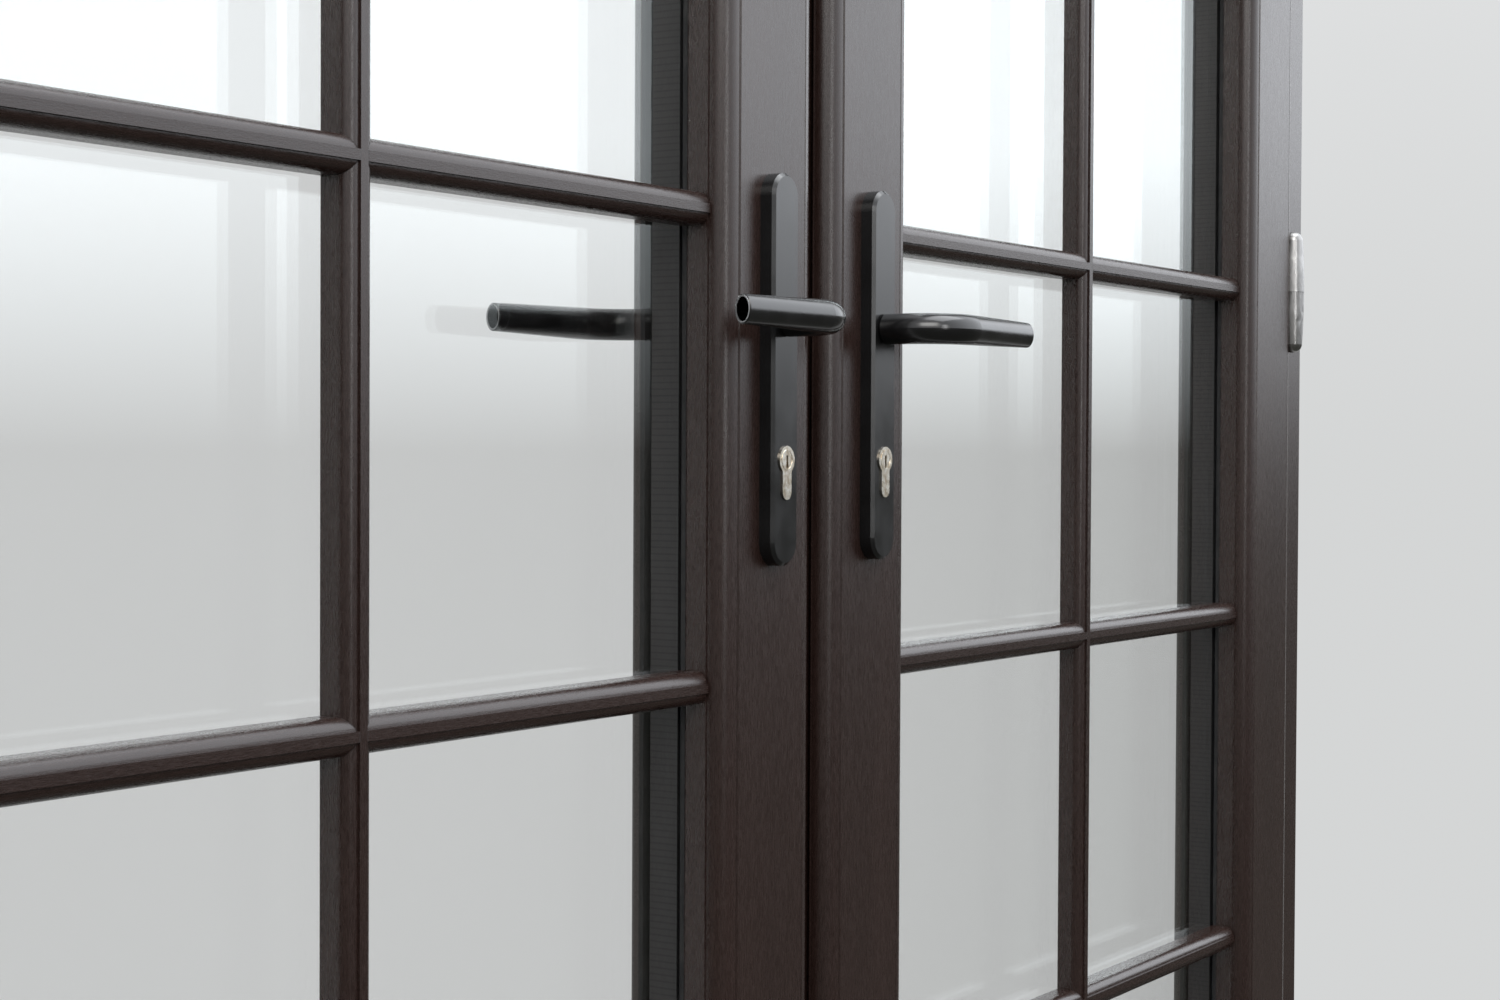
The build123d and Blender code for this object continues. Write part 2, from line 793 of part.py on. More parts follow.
def lever():
    """Outside lever: spigot, neck, bend and tapering grip towards -X."""
    foot = -backplate_thickness - lever_clearance
    straight = lever_projection - lever_bend
    round_face = Circle(lever_radius)
    spigot = through(Circle(spigot_radius), 0, 0, foot, 0)
    neck = through(round_face, 0, 0, -straight, foot)
    neck = chamfer(neck.faces().sort_by(Axis.Y)[-1].edges(), lever_rim)
    bend_axis = Axis((-lever_bend, -straight, 0), (0, 0, 1))
    bend_start = Plane(origin=(0, -straight, 0), x_dir=(1, 0, 0), z_dir=(0, -1, 0)) * round_face
    bend = revolve(bend_start, bend_axis, -90)
    grip_plane = Plane(
        origin=(-lever_bend, -lever_projection, 0), x_dir=(0, 1, 0), z_dir=(-1, 0, 0))
    tip_plane = Plane(
        origin=(-lever_length, -lever_projection, 0), x_dir=(0, 1, 0), z_dir=(-1, 0, 0))
    tip_face = tip_plane * Ellipse(lever_tip_depth / 2, lever_tip_height / 2)
    grip = loft([grip_plane * Ellipse(lever_radius, lever_radius), tip_face], ruled=True)
    grip = chamfer(grip.faces().sort_by(Axis.X)[0].edges(), lever_rim / 2)
    socket = Rectangle(spindle_size + 2 * socket_clearance, spindle_size + 2 * socket_clearance)
    return spigot + neck + bend + grip - through(socket, 0, 0, -socket_depth, 0)


def levers():
    """The outside lever and its mirror image inside."""
    outer = Pos(leaf_width - spindle_inset, 0, spindle_height) * lever()
    inner = mirror(outer, about=Plane.XZ.offset(-leaf_depth / 2))
    return outer, inner


def spindle():
    """Square bar through both levers."""
    side = Rectangle(spindle_size, spindle_size)
    end = socket_depth - lever_clearance
    return through(side, leaf_width - spindle_inset, spindle_height, -end, leaf_depth + end)


# Assembly

def save(name, shape):
    """Write one node, moved from the left leaf's places to the door set's."""
    export_step(outside * shape, f"parts/{name}.step")


def save_right(name, shape):
    """Write the mirror image of a left-hand node."""
    export_step(mirror(outside * shape, about=Plane.YZ), f"parts/{name}.step")


def both_sides(solids):
    """Left-hand pieces and their mirror images in one node."""
    across = Pos(set_width, 0, 0)
    return group(solids + [across * mirror(solid, about=Plane.YZ) for solid in solids])


def save_frame():
    """Frame members, seals, hinge halves and keeps that stay still."""
    near, far, bottom, top = frame_members()
    save("jamb_left", near)
    save("jamb_right", far)
    save("threshold", bottom)
    save("head", top)
    save("flange_seal", flange_seal())
    save("stop_seal", stop_seal())
    save("bolt_keeps", bolt_keeps())
    save("hinge_brackets", both_sides([hinge_bracket(height) for height in hinge_heights]))
    save("hinge_pins", both_sides([hinge_pin(height) for height in hinge_heights]))


def leaf_parts():
    """Everything that both leaves have alike, by name."""
    hinge_stile, meeting_stile, bottom, top = sash_members()
    upright_bar, cross_bars = glazing_bars()
    outer_lever, inner_lever = levers()
    return {
        "hinge_stile": hinge_stile,
        "bottom_rail": bottom,
        "top_rail": top,
        "outer_pane": pane(glass_setback),
        "inner_pane": pane(glass_setback + glass_thickness + cavity),
        "spacer": spacer(),
        "gaskets": gaskets(),
        "beads": beads(),
        "upright_bar": upright_bar,
        "cross_bars": cross_bars,
        "hinge_flaps": group([hinge_flap(height) for height in hinge_heights]),
        "outer_backplate": backplate(False),
        "inner_backplate": backplate(True),
        "handle_screws": handle_screws(),
        "cylinder": cylinder(),
        "key_plugs": key_plugs(),
        "outer_lever": outer_lever,
        "inner_lever": inner_lever,
        "spindle": spindle(),
        "meeting_stile": meeting_stile,
    }


def save_left_only():
    """Strip with its keeps, rods and a lock with no bolts."""
    save("left_meeting_strip", meeting_strip(keep_pockets() + rod_bores()))
    save("left_faceplate", faceplate(keep_pockets()))
    save("left_lock_case", lock_case(keep_pockets()))
    upper, lower = rods()
    save("left_top_bolt", upper)
    save("left_bottom_bolt", lower)


def save_right_only(stile):
    """Strip, plate, case and stile open for the bolts, and the bolts."""
    channels = bolt_channels()
    for channel in channels:
        stile -= channel
    save_right("right_meeting_stile", stile)
    save_right("right_meeting_strip", meeting_strip(channels))
    save_right("right_faceplate", faceplate(channels))
    save_right("right_lock_case", lock_case(channels))
    places = bolt_places()
    save_right("right_latch", latch())
    save_right("right_deadbolt", side_bolt(*places[1], deadbolt_length))
    side_bolts = [side_bolt(low, height, side_bolt_length) for low, height in places[2:]]
    save_right("right_side_bolts", group(side_bolts))


os.makedirs("parts", exist_ok=True)
save_frame()
alike = leaf_parts()
for part_name, part in alike.items():
    save(f"left_{part_name}", part)
    if part_name != "meeting_stile":
        save_right(f"right_{part_name}", part)
save_left_only()
save_right_only(alike["meeting_stile"])
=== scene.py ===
"""Look of a pair of outward-opening french doors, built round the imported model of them."""

import json
import logging
import math
from dataclasses import dataclass
from enum import Enum
from typing import Callable, Iterable, Sequence, Union

import bpy
from mathutils import Matrix, Vector

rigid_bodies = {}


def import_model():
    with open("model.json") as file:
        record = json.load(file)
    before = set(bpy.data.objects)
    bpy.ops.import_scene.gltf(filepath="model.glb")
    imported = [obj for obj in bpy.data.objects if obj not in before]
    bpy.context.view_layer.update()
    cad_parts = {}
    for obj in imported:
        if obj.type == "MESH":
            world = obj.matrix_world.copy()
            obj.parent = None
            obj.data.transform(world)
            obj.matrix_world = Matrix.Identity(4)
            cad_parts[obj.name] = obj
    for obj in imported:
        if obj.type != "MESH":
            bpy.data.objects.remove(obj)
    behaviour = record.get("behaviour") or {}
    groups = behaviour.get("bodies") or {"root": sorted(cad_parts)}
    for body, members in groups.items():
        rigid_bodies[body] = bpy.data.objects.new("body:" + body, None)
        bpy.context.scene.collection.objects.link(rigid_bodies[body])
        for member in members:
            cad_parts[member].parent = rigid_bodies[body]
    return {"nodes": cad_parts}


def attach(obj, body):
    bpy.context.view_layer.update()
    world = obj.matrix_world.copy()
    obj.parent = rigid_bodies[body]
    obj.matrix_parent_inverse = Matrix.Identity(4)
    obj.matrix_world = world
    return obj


for leftover in list(bpy.data.objects):
    bpy.data.objects.remove(leftover)
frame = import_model()
bpy.context.view_layer.update()

logging.basicConfig(level=logging.INFO, format="%(message)s")
log = logging.getLogger("french_doors")

Colour = tuple[float, float, float]
Place = tuple[float, float, float]
Levels = tuple[float, float]
Value = Union["Wire", float]

IMAGE_WIDTH = 1500
SENSOR_WIDTH = 36.0
FACING_COSINE = 0.9
SMOOTH_ANGLE = math.radians(32.0)


class Side(Enum):
    """The two leaves, as seen from outside, with the sign of their X."""

    LEFT = -1
    RIGHT = 1

    @property
    def label(self) -> str:
        """Name of the side, as the nodes and bodies begin."""
        return self.name.lower()


class Face(Enum):
    """The two faces of the doors, with the sign of their Y."""

    OUTSIDE = -1
    INSIDE = 1

    @property
    def label(self) -> str:
        """Name of the face, as the handle nodes begin."""
        return "outer" if self is Face.OUTSIDE else "inner"


class Holder(Enum):
    """What a hinge's plate is screwed to."""

    LEAF = "leaf"
    FRAME = "frame"


class Grain(Enum):
    """Direction that the foil's grain runs in."""

    UPRIGHT = (1.0, 1.0, 0.10)
    LEVEL = (0.10, 1.0, 1.0)


# Shader building

class Wire:
    """An output socket that Python's operators build Math nodes on."""

    def __init__(self, tree: bpy.types.NodeTree, socket: bpy.types.NodeSocket) -> None:
        """Keep the socket with the tree that its nodes go into."""
        self.tree = tree
        self.socket = socket

    def maths(self, operation: str, *values: Value) -> "Wire":
        """Add one Math node.

        Args:
            operation: Name of the Math node's operation.
            values: Its inputs in order, wires or numbers.

        Returns:
            The node's result.
        """
        made = self.tree.nodes.new("ShaderNodeMath")
        made.operation = operation
        for place, value in zip(made.inputs, values):
            if isinstance(value, Wire):
                self.tree.links.new(value.socket, place)
            else:
                place.default_value = value
        return Wire(self.tree, made.outputs[0])

    def __add__(self, other: Value) -> "Wire":
        """Sum."""
        return self.maths("ADD", self, other)

    def __radd__(self, other: Value) -> "Wire":
        """Sum with the number first."""
        return self.maths("ADD", other, self)

    def __sub__(self, other: Value) -> "Wire":
        """Difference."""
        return self.maths("SUBTRACT", self, other)

    def __rsub__(self, other: Value) -> "Wire":
        """Difference with the number first."""
        return self.maths("SUBTRACT", other, self)

    def __mul__(self, other: Value) -> "Wire":
        """Product."""
        return self.maths("MULTIPLY", self, other)

    def __truediv__(self, other: Value) -> "Wire":
        """Quotient."""
        return self.maths("DIVIDE", self, other)

    def __abs__(self) -> "Wire":
        """Size without sign."""
        return self.maths("ABSOLUTE", self)

    def power(self, exponent: float) -> "Wire":
        """The value to a power."""
        return self.maths("POWER", self, exponent)

    def sine(self) -> "Wire":
        """Sine of the value."""
        return self.maths("SINE", self)

    def root(self) -> "Wire":
        """Square root."""
        return self.maths("SQRT", self)

    def least(self, other: Value) -> "Wire":
        """The lower of two values."""
        return self.maths("MINIMUM", self, other)

    def most(self, other: Value) -> "Wire":
        """The higher of two values."""
        return self.maths("MAXIMUM", self, other)

    def share(self) -> "Wire":
        """The value brought from the range of -1 to 1 to that of 0 to 1."""
        return self * 0.5 + 0.5

    def fade(self, width: float) -> "Wire":
        """A mask that is 1 at zero and falls to 0 at a width."""
        return (1.0 - abs(self) / width).most(0.0)


class Recipe:
    """The node tree of a material or of the world, with its shader.

    FIRST, SECOND and MIXED number the sockets that a Mix node has for colours.
    """

    FIRST = 6
    SECOND = 7
    MIXED = 2

    def __init__(self, tree: bpy.types.NodeTree, shader: str, coordinates: str) -> None:
        """Take up a node tree.

        Args:
            tree: The tree, with its output and one shader.
            shader: Name of the shader's node.
            coordinates: The coordinates that every texture reads.
        """
        self.tree = tree
        self.shader = tree.nodes[shader]
        self.place = self.node("ShaderNodeTexCoord", outputs=[coordinates])

    @classmethod
    def material(cls, name: str) -> tuple["Recipe", bpy.types.Material]:
        """Start a material that has only its output and its Principled shader.

        Args:
            name: The material's name.

        Returns:
            The recipe that it is built with, and the material.
        """
        made = bpy.data.materials.new(name)
        made.use_nodes = True
        return cls(made.node_tree, "Principled BSDF", "Object"), made

    def node(self, kind: str, settings: dict | None = None, sockets: dict | None = None,
             outputs: Sequence[int | str] = (0,)) -> Wire | list[Wire]:
        """Add one node.

        Args:
            kind: Blender's name for the type of node.
            settings: What is set on the node itself, and stops for a ramp.
            sockets: Wires, numbers, colours or vectors for its inputs, by name or number.
            outputs: The outputs wanted.

        Returns:
            That output, or a list where more than one is wanted.
        """
        made = self.tree.nodes.new(kind)
        for key, value in (settings or {}).items():
            if key == "stops":
                self.set_stops(made.color_ramp, value)
            else:
                setattr(made, key, value)
        for key, value in (sockets or {}).items():
            self.feed(made.inputs[key], value)
        wires = [Wire(self.tree, made.outputs[output]) for output in outputs]
        return wires[0] if len(wires) == 1 else wires

    def feed(self, socket: bpy.types.NodeSocket, value: object) -> None:
        """Link a wire to a socket, or set a value on it.

        Args:
            socket: The input to fill.
            value: A wire, a number, a vector, or a colour, which is made opaque.
        """
        if isinstance(value, Wire):
            self.tree.links.new(value.socket, socket)
        elif socket.type == "RGBA":
            socket.default_value = (*value, 1.0)
        else:
            socket.default_value = value

    @staticmethod
    def set_stops(ramp: bpy.types.ColorRamp, stops: Sequence[tuple[float, float]]) -> None:
        """Give a ramp grey stops.

        Args:
            ramp: The ramp.
            stops: Pairs of place and brightness.
        """
        while len(ramp.elements) < len(stops):
            ramp.elements.new(1.0)
        for element, (place, grey) in zip(ramp.elements, stops):
            element.position = place
            element.color = (grey, grey, grey, 1.0)

    def set_surface(self, **sockets: object) -> None:
        """Set the Principled shader's own sockets, with _ for a space."""
        for key, value in sockets.items():
            self.feed(self.shader.inputs[key.replace("_", " ")], value)

    def axes(self) -> list[Wire]:
        """X, Y and Z of the surface, in metres."""
        return self.node("ShaderNodeSeparateXYZ", sockets={0: self.place}, outputs=("X", "Y", "Z"))

    def stretched(self, scale: Place) -> Wire:
        """The surface's place, scaled by axis."""
        return self.node("ShaderNodeMapping", sockets={"Vector": self.place, "Scale": scale})

    def noise(self, scale: float, place: Wire | None = None, detail: float = 3.0,
              roughness: float = 0.55) -> Wire:
        """Cloudy noise.

        Args:
            scale: Clouds per metre.
            place: Where the noise is read, the surface's place if left out.
            detail: Octaves.
            roughness: Share of the finer octaves.

        Returns:
            Noise from 0 to 1.
        """
        sockets = {"Vector": place or self.place, "Scale": scale, "Detail": detail, "Roughness": roughness}
        return self.node("ShaderNodeTexNoise", sockets=sockets)

    def ramp(self, value: Wire, levels: Levels) -> Wire:
        """Spread what lies between two levels over 0 to 1."""
        stops = tuple(zip(levels, (0.0, 1.0)))
        return self.node("ShaderNodeValToRGB", {"stops": stops}, {"Fac": value})

    def blend(self, factor: Value, first: object, second: object) -> Wire:
        """Mix two colours, given as wires or as red, green and blue."""
        sockets = {"Factor": factor, self.FIRST: first, self.SECOND: second}
        return self.node("ShaderNodeMix", {"data_type": "RGBA"}, sockets, [self.MIXED])

    def bump(self, height: Value, strength: float, distance: float) -> Wire:
        """Normal of a surface raised by a height.

        Args:
            height: Height from 0 to 1.
            strength: Share of the full effect.
            distance: Metres that a height of 1 stands for.

        Returns:
            The bumped normal.
        """
        sockets = {"Height": height, "Strength": strength, "Distance": distance}
        return self.node("ShaderNodeBump", sockets=sockets)


# Finishes

@dataclass(frozen=True)
class Corners:
    """A rectangle whose corners are mitred: its left, right, bottom and top, in metres."""

    left: float
    right: float
    bottom: float
    top: float

    def seam(self, recipe: Recipe, width: float) -> Wire:
        """A mask along the four mitres.

        Args:
            recipe: The material that the mask is for.
            width: Distance from the mitre at which the mask ends.

        Returns:
            1 on the mitre, 0 away from it.
        """
        x, _, z = recipe.axes()
        across = (x - self.left).least(self.right - x)
        along = (z - self.bottom).least(self.top - z)
        return (across - along).fade(width)


@dataclass(frozen=True)
class BarCrossing:
    """The scribed joints of the cross bars against an upright bar, in metres."""

    centre: float
    flat_half: float = 0.00275
    half: float = 0.010
    foot: float = -0.01535
    ovolo: float = 0.00725

    def seam(self, recipe: Recipe, width: float) -> Wire:
        """A mask along the line where a cross bar meets the upright bar.

        Args:
            recipe: The material that the mask is for.
            width: Distance from the joint at which the mask ends.

        Returns:
            1 on the joint, 0 away from it.
        """
        x, y, _ = recipe.axes()
        drop = (self.foot - y).most(0.0)
        reach = (self.ovolo ** 2 - drop * drop).most(0.0).root() + self.flat_half
        return (abs(x - self.centre) - reach.least(self.half)).fade(width)


@dataclass(frozen=True)
class WoodFoil:
    """Dark brown foil with a fine embossed grain, and a fine line where pieces meet."""

    name: str
    grain: Grain
    joints: Corners | BarCrossing | None = None
    dark: Colour = (0.0085, 0.0042, 0.0034)
    light: Colour = (0.038, 0.0205, 0.0165)
    streak_scale: float = 1500.0
    pore_scale: float = 3200.0
    band_scale: float = 22.0
    streak_levels: Levels = (0.34, 0.68)
    pore_levels: Levels = (0.52, 0.70)
    streak_share: float = 0.26
    band_share: float = 0.30
    pore_share: float = 0.10
    streak_height: float = 0.6
    pore_height: float = 0.4
    roughness: float = 0.23
    streak_dulling: float = 0.10
    pore_gloss: float = 0.05
    relief: float = 0.22
    depth: float = 0.00012
    seam_colour: Colour = (0.004, 0.003, 0.003)
    seam_width: float = 0.0007
    seam_share: float = 0.8
    seam_drop: float = 2.0
    seam_dulling: float = 0.2

    def material(self) -> bpy.types.Material:
        """Make the foil.

        Returns:
            A material whose streaks run with the grain.
        """
        recipe, made = Recipe.material(self.name)
        along = recipe.stretched(self.grain.value)
        fibres = recipe.noise(self.streak_scale, along, detail=4.0, roughness=0.62)
        streaks = recipe.ramp(fibres, self.streak_levels)
        pores = recipe.ramp(recipe.noise(self.pore_scale, along, detail=2.0), self.pore_levels)
        bands = recipe.noise(self.band_scale, along, detail=3.0)
        tone = streaks * self.streak_share + bands * self.band_share + pores * self.pore_share
        colour = recipe.blend(tone, self.dark, self.light)
        height = streaks * self.streak_height + pores * self.pore_height
        rough = self.roughness + streaks * self.streak_dulling - pores * self.pore_gloss
        if self.joints is not None:
            seam = self.joints.seam(recipe, self.seam_width)
            colour = recipe.blend(seam * self.seam_share, colour, self.seam_colour)
            height = height - seam * self.seam_drop
            rough = rough + seam * self.seam_dulling
        recipe.set_surface(
            Base_Color=colour, Roughness=rough, Specular_IOR_Level=0.5,
            Normal=recipe.bump(height, self.relief, self.depth))
        return made


@dataclass(frozen=True)
class BlackCoat:
    """Semi-gloss black coating on the handles."""

    name: str = "handle_black"
    colour: Colour = (0.0045, 0.0046, 0.0048)
    touched: Colour = (0.010, 0.010, 0.0105)
    roughness: float = 0.17
    touch_scale: float = 38.0
    touch_levels: Levels = (0.38, 0.72)
    touch_share: float = 0.5
    touch_dulling: float = 0.08
    peel_scale: float = 1400.0
    relief: float = 0.06
    depth: float = 0.00008

    def material(self) -> bpy.types.Material:
        """Make the coating.

        Returns:
            A black material with a faint orange peel and soft wear of its gloss.
        """
        recipe, made = Recipe.material(self.name)
        touch = recipe.ramp(recipe.noise(self.touch_scale, detail=4.0), self.touch_levels)
        peel = recipe.noise(self.peel_scale, detail=2.0)
        recipe.set_surface(
            Base_Color=recipe.blend(touch * self.touch_share, self.colour, self.touched),
            Roughness=self.roughness + touch * self.touch_dulling, Specular_IOR_Level=0.6,
            Normal=recipe.bump(peel, self.relief, self.depth))
        return made


@dataclass(frozen=True)
class BareMetal:
    """Metal with a fine brushed or rolled surface."""

    name: str
    colour: Colour
    tint: Colour
    roughness: float
    stretch: Place = (1.0, 1.0, 1.0)
    line_scale: float = 900.0
    line_dulling: float = 0.14
    cloud_scale: float = 90.0
    cloud_levels: Levels = (0.36, 0.64)
    relief: float = 0.10
    depth: float = 0.00005

    def material(self) -> bpy.types.Material:
        """Make the metal.

        Returns:
            A metal whose colour and gloss vary along its brushing.
        """
        recipe, made = Recipe.material(self.name)
        lines = recipe.noise(self.line_scale, recipe.stretched(self.stretch), detail=3.0)
        clouds = recipe.ramp(recipe.noise(self.cloud_scale, detail=4.0), self.cloud_levels)
        recipe.set_surface(
            Base_Color=recipe.blend(clouds, self.colour, self.tint), Metallic=1.0,
            Roughness=self.roughness + lines * self.line_dulling,
            Normal=recipe.bump(lines, self.relief, self.depth))
        return made


@dataclass(frozen=True)
class PowderCoat:
    """Satin coating with a fine pebbled surface."""

    name: str
    colour: Colour
    roughness: float
    lightening: float = 1.6
    pebble_scale: float = 1900.0
    cloud_scale: float = 45.0
    cloud_share: float = 0.6
    cloud_dulling: float = 0.06
    relief: float = 0.09
    depth: float = 0.00008

    def material(self) -> bpy.types.Material:
        """Make the coating.

        Returns:
            A dark coat with a faint pebble.
        """
        recipe, made = Recipe.material(self.name)
        pebble = recipe.noise(self.pebble_scale, detail=2.0)
        clouds = recipe.noise(self.cloud_scale, detail=3.0)
        lighter = tuple(self.lightening * part for part in self.colour)
        recipe.set_surface(
            Base_Color=recipe.blend(clouds * self.cloud_share, self.colour, lighter),
            Roughness=self.roughness + clouds * self.cloud_dulling, Specular_IOR_Level=0.5,
            Normal=recipe.bump(pebble, self.relief, self.depth))
        return made


@dataclass(frozen=True)
class Rubber:
    """Matt black rubber of seals and gaskets."""

    name: str = "gasket_rubber"
    colour: Colour = (0.007, 0.007, 0.0075)
    dusty: Colour = (0.035, 0.033, 0.031)
    roughness: float = 0.66
    dust_scale: float = 70.0
    dust_levels: Levels = (0.45, 0.80)
    dust_share: float = 0.4
    skin_scale: float = 1600.0
    skin_dulling: float = 0.14
    relief: float = 0.15
    depth: float = 0.0001

    def material(self) -> bpy.types.Material:
        """Make the rubber.

        Returns:
            A dull black with dust in patches.
        """
        recipe, made = Recipe.material(self.name)
        dust = recipe.ramp(recipe.noise(self.dust_scale, detail=5.0), self.dust_levels)
        skin = recipe.noise(self.skin_scale, detail=2.0)
        recipe.set_surface(
            Base_Color=recipe.blend(dust * self.dust_share, self.colour, self.dusty),
            Roughness=self.roughness + skin * self.skin_dulling, Specular_IOR_Level=0.3,
            Normal=recipe.bump(skin, self.relief, self.depth))
        return made


@dataclass(frozen=True)
class SpacerBar:
    """Dark bar between the panes, with rows of small holes."""

    name: str = "spacer_bar"
    colour: Colour = (0.014, 0.013, 0.013)
    hole_colour: Colour = (0.004, 0.004, 0.004)
    pitch: float = 0.004
    hole_levels: Levels = (0.80, 0.92)
    roughness: float = 0.52
    grain_scale: float = 300.0
    grain_dulling: float = 0.12
    relief: float = 0.2
    depth: float = 0.0001

    def material(self) -> bpy.types.Material:
        """Make the bar.

        Returns:
            A dull grey-black with a dotted face.
        """
        recipe, made = Recipe.material(self.name)
        x, _, z = recipe.axes()
        rows = ((x + z) * (math.tau / self.pitch)).sine()
        holes = recipe.ramp(rows.share(), self.hole_levels)
        grain = recipe.noise(self.grain_scale, detail=2.0)
        recipe.set_surface(
            Base_Color=recipe.blend(holes, self.colour, self.hole_colour),
            Roughness=self.roughness + grain * self.grain_dulling,
            Normal=recipe.bump(1.0 - holes, self.relief, self.depth))
        return made


@dataclass(frozen=True)
class ClearGlass:
    """Float glass: clear from the front, with a mirror sheen that grows to the side."""

    name: str = "clear_glass"
    colour: Colour = (0.90, 0.95, 0.93)
    hazy: Colour = (0.84, 0.90, 0.92)
    roughness: float = 0.012
    haze_scale: float = 5.0
    haze_levels: Levels = (0.3, 0.9)
    haze_share: float = 0.2
    haze_dulling: float = 0.01
    haze_alpha: float = 0.006
    straight_sheen: float = 0.043
    steepness: float = 5.0

    def material(self) -> bpy.types.Material:
        """Make the glass.

        Returns:
            A material whose alpha follows the reflection that its angle gives.
        """
        recipe, made = Recipe.material(self.name)
        facing = recipe.node("ShaderNodeLayerWeight", sockets={"Blend": 0.5}, outputs=["Facing"])
        sheen = facing.power(self.steepness) * (1.0 - self.straight_sheen) + self.straight_sheen
        haze = recipe.ramp(recipe.noise(self.haze_scale, detail=2.0), self.haze_levels)
        recipe.set_surface(
            Base_Color=recipe.blend(haze * self.haze_share, self.colour, self.hazy), Metallic=1.0,
            Roughness=self.roughness + haze * self.haze_dulling, Alpha=sheen + haze * self.haze_alpha)
        return made


# Modelling helpers

@dataclass
class Bench:
    """Edit-mode work on one new piece at a time."""

    piece: bpy.types.Object | None = None

    @staticmethod
    def clear() -> None:
        """Deselect every object."""
        for thing in bpy.context.selected_objects:
            thing.select_set(False)

    def disc(self, name: str, centre: Place, radius: float, depth: float, points: int,
             turn: Place = (0.0, 0.0, 0.0)) -> "Bench":
        """Start a piece from a short cylinder.

        Args:
            name: The piece's name.
            centre: Its middle.
            radius: Its radius.
            depth: Its height along its own axis.
            points: Corners round it.
            turn: Its rotation, in radians.

        Returns:
            This bench with the piece on it.
        """
        self.clear()
        bpy.ops.mesh.primitive_cylinder_add(
            vertices=points, radius=radius, depth=depth, location=centre, rotation=turn)
        return self.take(name)

    def take(self, name: str) -> "Bench":
        """Name the piece that was just added and put its place into its mesh.

        Args:
            name: The piece's name.

        Returns:
            This bench with the piece on it.
        """
        self.piece = bpy.context.active_object
        self.piece.name = name
        self.piece.data.name = name
        bpy.ops.object.transform_apply(location=True, rotation=True, scale=True)
        return self

    def faces(self, wanted: Callable[[bpy.types.MeshPolygon], bool]) -> "Bench":
        """Enter edit mode with some faces selected.

        Args:
            wanted: Says of each face whether it is selected.

        Returns:
            This bench, in edit mode.
        """
        bpy.context.view_layer.objects.active = self.piece
        bpy.ops.object.mode_set(mode="EDIT")
        bpy.ops.mesh.select_mode(type="FACE")
        bpy.ops.mesh.select_all(action="DESELECT")
        bpy.ops.object.mode_set(mode="OBJECT")
        for polygon in self.piece.data.polygons:
            polygon.select = wanted(polygon)
        bpy.ops.object.mode_set(mode="EDIT")
        return self

    def facing(self, direction: Place) -> "Bench":
        """Enter edit mode with the faces that look one way selected."""
        wanted = Vector(direction)
        return self.faces(lambda polygon: polygon.normal.dot(wanted) > FACING_COSINE)

    def inset(self, thickness: float, depth: float = 0.0) -> "Bench":
        """Inset the selected faces, and sink them where a depth below 0 is given."""
        bpy.ops.mesh.inset(thickness=thickness, depth=depth)
        return self

    def push(self, move: Place) -> "Bench":
        """Move the selected faces."""
        bpy.ops.transform.translate(value=move)
        return self

    def bore(self, axis: Place, wall: float) -> "Bench":
        """Cut a hole through a disc.

        Args:
            axis: Direction of the disc's axis.
            wall: Distance from the disc's rim to the hole.

        Returns:
            This bench, in object mode.
        """
        along = Vector(axis)
        self.faces(lambda polygon: abs(polygon.normal.dot(along)) > FACING_COSINE).inset(wall)
        bpy.ops.mesh.bridge_edge_loops()
        return self.leave()

    def leave(self) -> "Bench":
        """Go back to object mode."""
        bpy.ops.object.mode_set(mode="OBJECT")
        return self

    def soften(self, width: float, steps: int = 2, angle: float = 35.0) -> "Bench":
        """Round the piece's sharp edges.

        Args:
            width: Width of the rounding.
            steps: Segments across it.
            angle: Edges sharper than this are rounded, in degrees.

        Returns:
            This bench, with the modifier applied.
        """
        bevel = self.piece.modifiers.new("round", "BEVEL")
        bevel.width = width
        bevel.segments = steps
        bevel.limit_method = "ANGLE"
        bevel.angle_limit = math.radians(angle)
        self.select_only()
        bpy.ops.object.modifier_apply(modifier=bevel.name)
        return self

    def select_only(self) -> None:
        """Select the piece alone and make it active."""
        self.clear()
        self.piece.select_set(True)
        bpy.context.view_layer.objects.active = self.piece

    def done(self, material: bpy.types.Material, body: str, slot: str) -> bpy.types.Object:
        """Finish the piece.

        Args:
            material: Its material.
            body: The body that it rides on.
            slot: Not used.

        Returns:
            The piece, smooth, dressed and riding.
        """
        self.select_only()
        bpy.ops.object.shade_smooth_by_angle(angle=SMOOTH_ANGLE)
        self.piece.data.materials.clear()
        self.piece.data.materials.append(material)
        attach(self.piece, body)
        log.info("piece %s on %s", self.piece.name, body)
        return self.piece


def copies(source: bpy.types.Object, moves: Iterable[Place], name: str) -> bpy.types.Object:
    """Join moved copies of a small piece to one piece, each with its own mesh.

    Args:
        source: The piece to copy, which is used up.
        moves: Where each copy goes, from the source's place.
        name: Name of the joined piece.

    Returns:
        The joined piece.
    """
    made = []
    for move in moves:
        again = source.copy()
        again.data = source.data.copy()
        again.data.transform(Matrix.Translation(move))
        bpy.context.scene.collection.objects.link(again)
        made.append(again)
    bpy.data.objects.remove(source)
    Bench.clear()
    for piece in made:
        piece.select_set(True)
    bpy.context.view_layer.objects.active = made[0]
    bpy.ops.object.join()
    made[0].name = name
    made[0].data.name = name
    return made[0]


def dress(material: bpy.types.Material, *nodes: str) -> None:
    """Give CAD nodes a material.

    Args:
        material: The material.
        nodes: Names of the nodes.
    """
    for node in nodes:
        target = frame["nodes"][node]
        for slot in target.material_slots:
            slot.material = material
        log.info("node %s wears %s", node, material.name)


